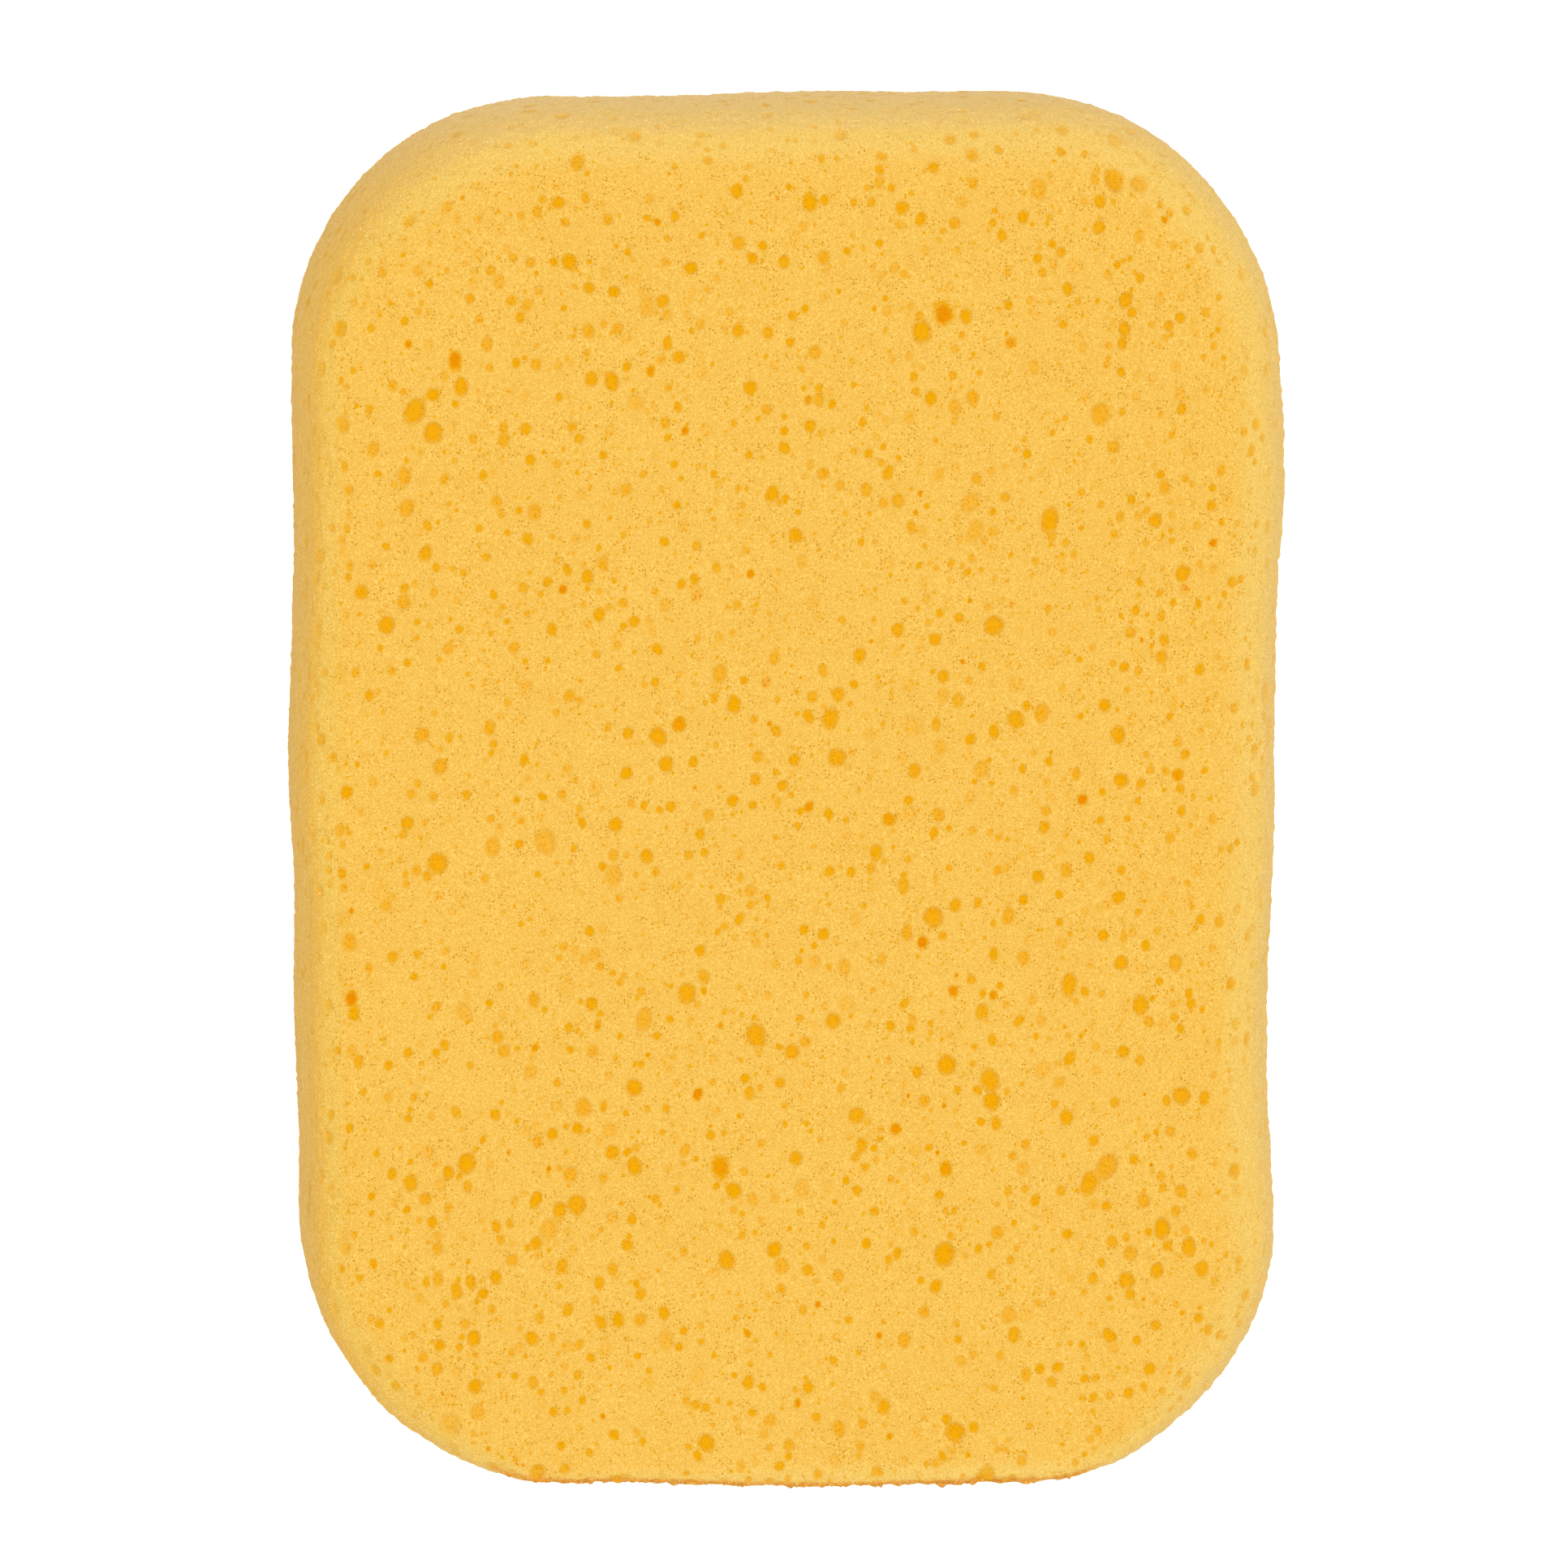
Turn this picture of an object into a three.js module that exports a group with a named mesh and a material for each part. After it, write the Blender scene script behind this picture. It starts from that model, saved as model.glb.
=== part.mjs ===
// A grout sponge: one block of open-cell foam, lying on a broad face.
// Millimetres, +Z up. X is the width, Y the length and Z the thickness.
// The origin is the centre of the broad face that the block lies on.

import * as THREE from 'three';

// The block's overall size.
const BLOCK_WIDTH = 134;
const BLOCK_LENGTH = 190.5;
const BLOCK_THICKNESS = 51;

// The corners of the outline, seen from above, and the rounding from a broad face to the side.
const CORNER_RADIUS = 36;
const EDGE_RADIUS = 6;

// Straight steps in each corner of the outline and across each rounded edge.
const CORNER_STEPS = 14;
const EDGE_STEPS = 5;

// Hydrophilic foam: warm yellow and fully matt.
const FOAM_COLOUR = 0xf5c04d;
const FOAM_ROUGHNESS = 0.95;

// The outline seen from above: a rectangle with a round arc at each corner, run anticlockwise.
function blockOutline() {
  const arcX = BLOCK_WIDTH / 2 - CORNER_RADIUS;
  const arcY = BLOCK_LENGTH / 2 - CORNER_RADIUS;
  const quarterTurn = Math.PI / 2;
  const arcCentres = [[arcX, -arcY], [arcX, arcY], [-arcX, arcY], [-arcX, -arcY]];
  const outline = new THREE.Shape();
  arcCentres.forEach(([x, y], corner) => {
    const startAngle = (corner - 1) * quarterTurn;
    outline.absarc(x, y, CORNER_RADIUS, startAngle, startAngle + quarterTurn, false);
  });
  outline.closePath();
  return outline;
}

// The outline drawn up through the thickness, with both rims rounded inside the overall size.
function foamBlock() {
  const geometry = new THREE.ExtrudeGeometry(blockOutline(), {
    depth: BLOCK_THICKNESS - 2 * EDGE_RADIUS,
    curveSegments: CORNER_STEPS / 2,
    bevelEnabled: true,
    bevelThickness: EDGE_RADIUS,
    bevelSize: EDGE_RADIUS,
    bevelOffset: -EDGE_RADIUS,
    bevelSegments: EDGE_STEPS,
  });
  const foam = new THREE.MeshStandardMaterial({
    color: FOAM_COLOUR,
    roughness: FOAM_ROUGHNESS,
    metalness: 0,
  });
  const block = new THREE.Mesh(geometry, foam);
  block.name = 'foam_block';
  block.position.z = EDGE_RADIUS;
  return block;
}

const group = new THREE.Group();
group.add(foamBlock());

export default group;
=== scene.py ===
"""A grout sponge: one hand-cut block of open-cell foam, lying on a broad face.

The block is one closed surface worked out with numpy. A profile of two rounded rims and a wall is
carried round a rounded outline, and a square-cornered core closes it above and below. The bubbles
that the knife opened are pressed into it as real hollows, and every vertex keeps how far inside a
bubble it lies, from which the foam's finish paints the pores' amber, a painted shade.
"""

import logging
import math
from collections.abc import Iterator
from dataclasses import dataclass, field
from enum import Enum

import bpy
import numpy as np
from mathutils import Matrix, Vector


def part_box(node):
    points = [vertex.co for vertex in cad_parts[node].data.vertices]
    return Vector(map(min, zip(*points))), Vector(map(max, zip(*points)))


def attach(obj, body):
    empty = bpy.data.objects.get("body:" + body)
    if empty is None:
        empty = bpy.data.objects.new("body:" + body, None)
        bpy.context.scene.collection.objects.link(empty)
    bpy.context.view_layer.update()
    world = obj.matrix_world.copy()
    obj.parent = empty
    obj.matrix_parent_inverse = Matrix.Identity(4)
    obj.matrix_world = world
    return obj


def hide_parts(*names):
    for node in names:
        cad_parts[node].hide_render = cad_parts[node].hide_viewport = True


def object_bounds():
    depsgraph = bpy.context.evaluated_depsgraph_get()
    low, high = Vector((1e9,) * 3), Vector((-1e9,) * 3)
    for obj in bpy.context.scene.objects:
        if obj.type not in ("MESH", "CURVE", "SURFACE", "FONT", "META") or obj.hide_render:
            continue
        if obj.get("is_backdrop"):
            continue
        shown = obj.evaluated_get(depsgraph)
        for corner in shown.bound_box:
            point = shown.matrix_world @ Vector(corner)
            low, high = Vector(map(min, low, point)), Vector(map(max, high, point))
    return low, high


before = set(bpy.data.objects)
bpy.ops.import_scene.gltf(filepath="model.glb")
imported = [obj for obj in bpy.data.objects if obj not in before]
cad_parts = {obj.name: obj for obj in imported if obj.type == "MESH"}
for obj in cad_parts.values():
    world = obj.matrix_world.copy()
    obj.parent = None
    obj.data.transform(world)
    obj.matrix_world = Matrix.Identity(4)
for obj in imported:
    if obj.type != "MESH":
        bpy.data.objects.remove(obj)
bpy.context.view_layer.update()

MM = 0.001
CAD_NODE = "foam_block"
BODY = "root"

# The name of the map that lays the block's surface out flat.
FLAT_MAP = "OFBake"

# The scramble that turns a lattice point and a seed into a 32-bit number that looks random.
AXIS_FACTORS = (73856093, 19349663, 83492791)
SEED_FACTOR = 2654435761
SCRAMBLES = ((16, 0x7FEB352D), (15, 0x846CA68B))
LOW_BITS = np.uint64(0xFFFFFFFF)
HALF_RANGE = 0x7FFFFFFF

# Whole lattice steps that bring every point of a hand-sized thing above 0, where the scramble works.
LATTICE_SHIFT = 4096.0

log = logging.getLogger("grout_sponge")


# ---------------------------------------------------------------------------------------------
# Noise and neighbours
# ---------------------------------------------------------------------------------------------


@dataclass(frozen=True)
class LatticeNoise:
    """Smooth noise in space, from -1 to 1, the same for the same seed."""

    seed: int

    def _corner(self, lattice: np.ndarray) -> np.ndarray:
        """Scrambles whole-number lattice points into one number each.

        Args:
            lattice: Whole-number points, of shape (n, 3).

        Returns:
            n numbers from -1 to 1.
        """
        x, y, z = (
            lattice[:, axis].astype(np.uint64) * np.uint64(factor)
            for axis, factor in enumerate(AXIS_FACTORS)
        )
        mixed = ((x ^ y ^ z) + np.uint64(self.seed * SEED_FACTOR)) & LOW_BITS
        for shift, factor in SCRAMBLES:
            mixed ^= mixed >> np.uint64(shift)
            mixed = (mixed * np.uint64(factor)) & LOW_BITS
        mixed ^= mixed >> np.uint64(SCRAMBLES[0][0])
        return mixed.astype(np.float64) / HALF_RANGE - 1.0

    def at(self, points: np.ndarray, grain: float) -> np.ndarray:
        """Blends the eight lattice corners round each point by an eased share of the way along.

        Args:
            points: Points in metres, of shape (n, 3).
            grain: Distance between lattice points, in metres.

        Returns:
            n numbers, mostly within -0.8 to 0.8.
        """
        scaled = points / grain + LATTICE_SHIFT
        base = np.floor(scaled)
        share = scaled - base
        curve = share * share * (3.0 - 2.0 * share)
        total = np.zeros(len(points))
        for corner in np.ndindex(2, 2, 2):
            offset = np.array(corner)
            weight = np.prod(np.where(offset == 1, curve, 1.0 - curve), axis=1)
            total += weight * self._corner(base + offset)
        return total

    def layered(self, points: np.ndarray, grain: float, layers: int) -> np.ndarray:
        """Adds noise of half the size and six tenths of the height, layer upon layer.

        Args:
            points: Points in metres, of shape (n, 3).
            grain: Size of the coarsest layer, in metres.
            layers: How many layers.

        Returns:
            n numbers, mostly within -1 to 1.
        """
        total = np.zeros(len(points))
        for layer in range(layers):
            total += 0.6**layer * self.at(points, grain / 2**layer)
        return total


@dataclass(frozen=True)
class Cubes:
    """Points sorted into cubes, to find those near a centre without trying them all."""

    points: np.ndarray
    reach: float

    def pairs(self, centres: np.ndarray) -> tuple[np.ndarray, np.ndarray]:
        """Pairs every centre with the points in its own cube and the 26 round it.

        Args:
            centres: Centres in metres, of shape (m, 3).

        Returns:
            The point numbers and the centre numbers of the pairs.
        """
        low = self.points.min(axis=0) - 2.0 * self.reach
        size = np.ceil((self.points.max(axis=0) - low) / self.reach).astype(np.int64) + 3
        stride = np.array([size[1] * size[2], size[2], 1])
        cube_of = ((self.points - low) // self.reach).astype(np.int64) @ stride
        order = np.argsort(cube_of, kind="stable")
        ordered = cube_of[order]
        home = ((centres - low) // self.reach).astype(np.int64)
        point_parts, centre_parts = [], []
        for step in np.ndindex(3, 3, 3):
            cube = (home + np.array(step) - 1) @ stride
            first = np.searchsorted(ordered, cube, side="left")
            count = np.searchsorted(ordered, cube, side="right") - first
            centre = np.repeat(np.arange(len(centres)), count)
            run = np.arange(count.sum()) - np.repeat(np.cumsum(count) - count, count)
            point_parts.append(order[np.repeat(first, count) + run])
            centre_parts.append(centre)
        return np.concatenate(point_parts), np.concatenate(centre_parts)


def eased(value: np.ndarray, low: float, high: float) -> np.ndarray:
    """The S curve 3t^2 - 2t^3 of how far value is on the way from low to high."""
    share = np.clip((value - low) / (high - low), 0.0, 1.0)
    return share * share * (3.0 - 2.0 * share)


# ---------------------------------------------------------------------------------------------
# The block
# ---------------------------------------------------------------------------------------------


class Side(Enum):
    """A side of the block, by the way that it faces seen from above."""

    RIGHT = (1.0, 0.0)
    FAR = (0.0, 1.0)
    LEFT = (-1.0, 0.0)
    NEAR = (0.0, -1.0)

    def facing(self, outward: np.ndarray) -> np.ndarray:
        """How far each outward direction faces this side: the squared cosine, or 0 behind it."""
        return np.maximum(outward @ np.array(self.value), 0.0) ** 2


@dataclass(frozen=True)
class Swell:
    """A place where the knife ran wide, or narrow if the height is negative."""

    bearing: float
    spread: float
    height: float

    def at(self, bearings: np.ndarray) -> np.ndarray:
        """The bell curve height * exp(-(turn / spread)^2) of the turn from the swell's bearing."""
        turn = (bearings - self.bearing + 180.0) % 360.0 - 180.0
        return self.height * np.exp(-((turn / self.spread) ** 2))


@dataclass(frozen=True)
class Outline:
    """The block seen from above: straight sides joined by round arcs, cut a little unevenly."""

    width: float
    length: float
    corner_radius: float = 35.3 * MM
    swells: tuple[Swell, ...] = (
        Swell(bearing=34.0, spread=8.0, height=1.4 * MM),
        Swell(bearing=62.0, spread=10.0, height=0.6 * MM),
        Swell(bearing=85.0, spread=12.0, height=0.6 * MM),
        Swell(bearing=176.0, spread=14.0, height=1.2 * MM),
        Swell(bearing=205.0, spread=10.0, height=0.5 * MM),
        Swell(bearing=252.0, spread=12.0, height=-1.4 * MM),
        Swell(bearing=312.0, spread=12.0, height=0.9 * MM),
        Swell(bearing=334.0, spread=14.0, height=-0.8 * MM),
    )

    def walk(self, steps_long: int, steps_short: int) -> tuple[np.ndarray, np.ndarray]:
        """Goes anticlockwise round the outline from the middle of one corner arc to the next.

        Each side is half an arc, a straight and half an arc, in steps of equal length. The outward
        direction turns from 45 degrees behind the side's own direction to 45 degrees past it, and
        the point is the arc's centre, slid along the straight, plus the radius along that direction.

        Args:
            steps_long: Steps along each side that faces right or left.
            steps_short: Steps along each side that faces far or near.

        Returns:
            The points and the outward directions, each of shape (steps, 2).
        """
        half = np.array([self.width, self.length]) / 2.0 - self.corner_radius
        half_arc = self.corner_radius * math.pi / 4.0
        points, outwards = [], []
        for side, steps in zip(Side, (steps_long, steps_short) * 2):
            facing = np.array(side.value)
            along = np.array([-facing[1], facing[0]])
            straight = 2.0 * float(np.abs(along) @ half)
            run = np.linspace(0.0, straight + 2.0 * half_arc, steps, endpoint=False)
            turn = np.clip(run, 0.0, half_arc) + np.clip(run - half_arc - straight, 0.0, half_arc)
            angle = turn / self.corner_radius - math.pi / 4.0
            outward = np.outer(np.cos(angle), facing) + np.outer(np.sin(angle), along)
            slid = np.clip(run - half_arc, 0.0, straight) - straight / 2.0
            centre = facing * half + np.outer(slid, along)
            points.append(centre + self.corner_radius * outward)
            outwards.append(outward)
        point, outward = np.concatenate(points), np.concatenate(outwards)
        bearing = np.degrees(np.arctan2(point[:, 1], point[:, 0]))
        uneven = sum(swell.at(bearing) for swell in self.swells)
        return point + outward * uneven[:, None], outward


@dataclass
class BlockShape:
    """The smooth block, before any bubble or grain: its sizes and its grid of points.

    The band is the ring of each broad face from the rim to the square core. An outline's side is
    longer than its core's, as half of each corner goes with it, so it has side_extra more of steps.
    The faces and the wall wander by the unevenness, in waves of about the waviness, and are settled
    flat below that share of the thickness.
    """

    low: Vector
    high: Vector
    spacing: float
    band: float = 24.0 * MM
    side_extra: float = 20.0 * MM
    top_rims: dict[Side, float] = field(
        default_factory=lambda: {
            Side.RIGHT: 12.5 * MM,
            Side.FAR: 11.0 * MM,
            Side.LEFT: 5.5 * MM,
            Side.NEAR: 2.4 * MM,
        }
    )
    near_corner_rim: float = 3.8 * MM
    far_corner_rim: float = 1.6 * MM
    bottom_rim: float = 5.0 * MM
    bulge: float = 0.9 * MM
    crown: float = 0.7 * MM
    unevenness: float = 0.25 * MM
    waviness: float = 26.0 * MM
    settled: float = 0.15
    flat_gap: float = 4.0 * MM
    outline: Outline = field(init=False)

    def __post_init__(self) -> None:
        """Takes the outline's size from the block's box."""
        size = self.high - self.low
        self.outline = Outline(width=size.x, length=size.y)

    def _rows(self, height: float) -> dict[str, np.ndarray]:
        """Lays the profile's rows down from the upper core, over the rims and wall, to the lower.

        Args:
            height: The block's thickness, in metres.

        Returns:
            For each row: its share of the way in to the core, its turn over each rim in radians,
            and its share of the way down the wall.
        """
        quarter = math.pi / 2.0
        band = round(self.band / self.spacing)
        widest = max(self.top_rims.values()) + max(self.near_corner_rim, self.far_corner_rim)
        top = round(quarter * widest / self.spacing)
        wall = round((height - widest - self.bottom_rim) / self.spacing)
        bottom = round(quarter * self.bottom_rim / self.spacing)
        inward = np.linspace(1.0, 0.0, band, endpoint=False)
        return {
            "core": np.concatenate([inward, np.zeros(top + wall + bottom + 1), inward[::-1]]),
            "top": np.concatenate(
                [
                    np.zeros(band),
                    np.linspace(0.0, quarter, top, endpoint=False),
                    np.full(wall + bottom + 1 + band, quarter),
                ]
            ),
            "wall": np.concatenate(
                [
                    np.zeros(band + top),
                    np.linspace(0.0, 1.0, wall, endpoint=False),
                    np.ones(bottom + 1 + band),
                ]
            ),
            "bottom": np.concatenate(
                [
                    np.zeros(band + top + wall),
                    np.linspace(0.0, quarter, bottom + 1),
                    np.full(band, quarter),
                ]
            ),
        }

    def _strip(self, steps_long: int, steps_short: int) -> np.ndarray:
        """Carries the profile round the outline.

        The wall stands on the outline. Over a rim of radius r turned by t from the flat face, the
        surface lies r(1 - sin t) inside the outline and r(1 - cos t) below the face, and the band
        runs straight in from the rim to the border of the core. A corner of the outline adds its own
        part of the radius, by the squared sine of twice the outward direction's angle.

        Args:
            steps_long: Steps along each side that faces right or left.
            steps_short: Steps along each side that faces far or near.

        Returns:
            Points of shape (rows, columns, 3).
        """
        edge, outward = self.outline.walk(steps_long, steps_short)
        height = self.high.z - self.low.z
        rows = self._rows(height)
        rim = sum(side.facing(outward) * radius for side, radius in self.top_rims.items())
        corner_rim = np.where(outward[:, 1] > 0.0, self.far_corner_rim, self.near_corner_rim)
        rim = rim + corner_rim * (2.0 * outward[:, 0] * outward[:, 1]) ** 2
        down_top = rows["top"][:, None]
        down_bottom = rows["bottom"][:, None]
        wall = rows["wall"][:, None]
        inset = rim * (1.0 - np.sin(down_top)) + self.bottom_rim * (1.0 - np.cos(down_bottom))
        inset = inset - self.bulge * np.sin(math.pi * wall) * (wall > 0.0)
        drop = rim * (1.0 - np.cos(down_top)) + (height - rim - self.bottom_rim) * wall
        drop = drop + self.bottom_rim * np.sin(down_bottom)
        plan = edge[None] - inset[..., None] * outward[None]
        core = rows["core"][:, None, None]
        plan = plan * (1.0 - core) + self._core_border(steps_long, steps_short)[None] * core
        return np.concatenate([plan, (self.high.z - drop)[..., None]], axis=2)

    def _core_half(self) -> np.ndarray:
        """Half the width and half the length of the square-cornered core."""
        return np.array([self.high.x - self.low.x, self.high.y - self.low.y]) / 2.0 - self.band

    def _core_border(self, steps_long: int, steps_short: int) -> np.ndarray:
        """The core's border, anticlockwise from its near right corner, a point for each column."""
        half = self._core_half()
        corners = half * np.array([[1, -1], [1, 1], [-1, 1], [-1, -1]])
        sides = []
        for corner, steps in enumerate((steps_long, steps_short) * 2):
            start, end = corners[corner], corners[(corner + 1) % 4]
            share = np.linspace(0.0, 1.0, steps, endpoint=False)[:, None]
            sides.append(start + (end - start) * share)
        return np.concatenate(sides)

    def _core(self, steps_long: int, steps_short: int, height: float) -> np.ndarray:
        """The inner points of a core, an even grid of shape (steps_short - 1, steps_long - 1, 3)."""
        half = self._core_half()
        across = np.linspace(-half[0], half[0], steps_short + 1)[1:-1]
        along = np.linspace(-half[1], half[1], steps_long + 1)[1:-1]
        x, y = np.meshgrid(across, along, indexing="ij")
        return np.stack([x, y, np.full_like(x, height)], axis=2)

    def build(self) -> tuple[np.ndarray, np.ndarray, np.ndarray]:
        """Joins the strip and the two cores into one closed surface of four-sided faces.

        Returns:
            The points, of shape (n, 3), each face's four corners, of shape (faces, 4), and their
            places on the flat map, of shape (faces, 4, 2).
        """
        half = self._core_half()
        steps_long = round((2.0 * half[1] + self.side_extra) / self.spacing)
        steps_short = round((2.0 * half[0] + self.side_extra) / self.spacing)
        strip = self._strip(steps_long, steps_short)
        rows, columns = strip.shape[:2]
        ids = np.arange(rows * columns).reshape(rows, columns)
        beside = np.roll(ids, -1, axis=1)
        faces = [np.stack([ids[:-1], ids[1:], beside[1:], beside[:-1]], axis=2).reshape(-1, 4)]
        points = [strip.reshape(-1, 3)]
        taken = rows * columns
        for row, height in ((0, self.high.z), (rows - 1, self.low.z)):
            inner = self._core(steps_long, steps_short, height)
            grid = self._core_ids(ids[row], taken, steps_long, steps_short)
            quads = np.stack([grid[:-1, :-1], grid[1:, :-1], grid[1:, 1:], grid[:-1, 1:]], axis=2)
            quads = quads.reshape(-1, 4)
            faces.append(quads if row == 0 else quads[:, ::-1])
            points.append(inner.reshape(-1, 3))
            taken += inner.shape[0] * inner.shape[1]
        cut, joined = self._hand_cut(np.concatenate(points)), np.concatenate(faces)
        return cut, joined, self._flat_map(cut, joined, strip)

    @staticmethod
    def _core_ids(border: np.ndarray, first: int, steps_long: int, steps_short: int) -> np.ndarray:
        """Numbers a core's points: the strip's own round the border, and new ones inside it.

        Args:
            border: The strip's point numbers, anticlockwise from the near right corner.
            first: The first new number.
            steps_long: Steps along the core's length.
            steps_short: Steps across its width.

        Returns:
            Point numbers of shape (steps_short + 1, steps_long + 1).
        """
        grid = np.zeros((steps_short + 1, steps_long + 1), np.int64)
        inner = (steps_short - 1) * (steps_long - 1)
        grid[1:-1, 1:-1] = first + np.arange(inner).reshape(steps_short - 1, steps_long - 1)
        right, far, left, near = np.split(border, np.cumsum([steps_long, steps_short, steps_long]))
        grid[-1, :-1] = right
        grid[:0:-1, -1] = far
        grid[0, :0:-1] = left
        grid[:-1, 0] = near
        return grid

    def _flat_map(self, points: np.ndarray, faces: np.ndarray, strip: np.ndarray) -> np.ndarray:
        """Lays the surface out in a square, in sizes that are nearly true.

        The broad faces lie side by side, each as it is seen from its own side. Above them lies the
        wall, from half way over the upper rim to half way over the lower, cut into two strips. A
        face's corner lies along its strip by its column and across it by its row, the upper rim on
        top.

        Args:
            points: The surface's points, of shape (n, 3).
            faces: Each face's corners: the strip's faces, then the upper core's and the lower's.
            strip: The strip's points, of shape (rows, columns, 3).

        Returns:
            The place of each face's corners in the square, from 0 to 1, of shape (faces, 4, 2).
        """
        rows, columns = strip.shape[:2]
        profile = self._rows(self.high.z - self.low.z)
        first = int(np.argmax(profile["top"] >= math.pi / 4.0))
        last = int(np.argmax(profile["bottom"] >= math.pi / 4.0))
        ring = strip[(first + last) // 2]
        along = np.linalg.norm(np.roll(ring, -1, axis=0) - ring, axis=1).mean()
        across = np.linalg.norm(np.diff(strip[first : last + 1, 0], axis=0), axis=1).mean()
        row, column = (grid.ravel() for grid in np.mgrid[: rows - 1, :columns])
        core = np.repeat((0, rows), (len(faces) - len(row)) // 2)
        row, column = np.concatenate([row, core]), np.concatenate([column, 0 * core])
        half = (columns + 1) // 2
        width, length = self.high.x - self.low.x, self.high.y - self.low.y
        strip_height = (last - first) * across + self.flat_gap
        seen = points[faces][..., :2] - np.array(self.low)[:2]
        below = np.stack([2.0 * width + self.flat_gap - seen[..., 0], seen[..., 1]], axis=2)
        wall = np.stack(
            [
                (column % half)[:, None] * along + np.array([0.0, 0.0, along, along]),
                (last - row)[:, None] * across - np.array([0.0, across, across, 0.0]),
            ],
            axis=2,
        )
        wall[..., 1] += (length + self.flat_gap + strip_height * (column >= half))[:, None]
        on_wall = (row >= first) & (row < last)
        flat = np.where((row < first)[:, None, None], seen, below)
        flat = np.where(on_wall[:, None, None], wall, flat) + self.flat_gap
        wide = max(2.0 * width + 3.0 * self.flat_gap, half * along + 2.0 * self.flat_gap)
        high = length + 2.0 * self.flat_gap + 2.0 * strip_height
        return flat / max(wide, high)

    def _hand_cut(self, points: np.ndarray) -> np.ndarray:
        """Crowns the upper face and lets it and the wall wander a little.

        A point falls by the crown, times the sum of the fourth powers of its shares of the half
        width and half length, held to 1, times the square of its share of the height. The wandering
        is smooth noise, which fades to nothing on the lower face, where the block lies.

        Args:
            points: The smooth block's points, of shape (n, 3).

        Returns:
            The moved points.
        """
        size = np.array(self.high - self.low)
        out = np.abs(points[:, :2]) / (size[:2] / 2.0)
        height = (points[:, 2] - self.low.z) / size[2]
        fall = self.crown * np.clip((out**4).sum(axis=1), 0.0, 1.0) * height**2
        moved = points.copy()
        loose = eased(height, 0.0, self.settled)
        for axis, noise in enumerate((LatticeNoise(11), LatticeNoise(12), LatticeNoise(13))):
            moved[:, axis] += self.unevenness * loose * noise.layered(points, self.waviness, 3)
        moved[:, 2] -= fall
        return moved


# ---------------------------------------------------------------------------------------------
# Bubbles and grain
# ---------------------------------------------------------------------------------------------


def outward_normals(points: np.ndarray, faces: np.ndarray) -> np.ndarray:
    """The unit sum, at each point, of the cross products of its faces' two diagonals.

    Args:
        points: Points of shape (n, 3).
        faces: Each face's four corners, of shape (faces, 4).

    Returns:
        Unit normals of shape (n, 3).
    """
    across = points[faces[:, 2]] - points[faces[:, 0]]
    athwart = points[faces[:, 3]] - points[faces[:, 1]]
    flat = np.cross(across, athwart)
    total = np.stack(
        [
            np.bincount(faces.ravel(), np.repeat(flat[:, axis], 4), minlength=len(points))
            for axis in range(3)
        ],
        axis=1,
    )
    return total / np.linalg.norm(total, axis=1, keepdims=True)


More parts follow.
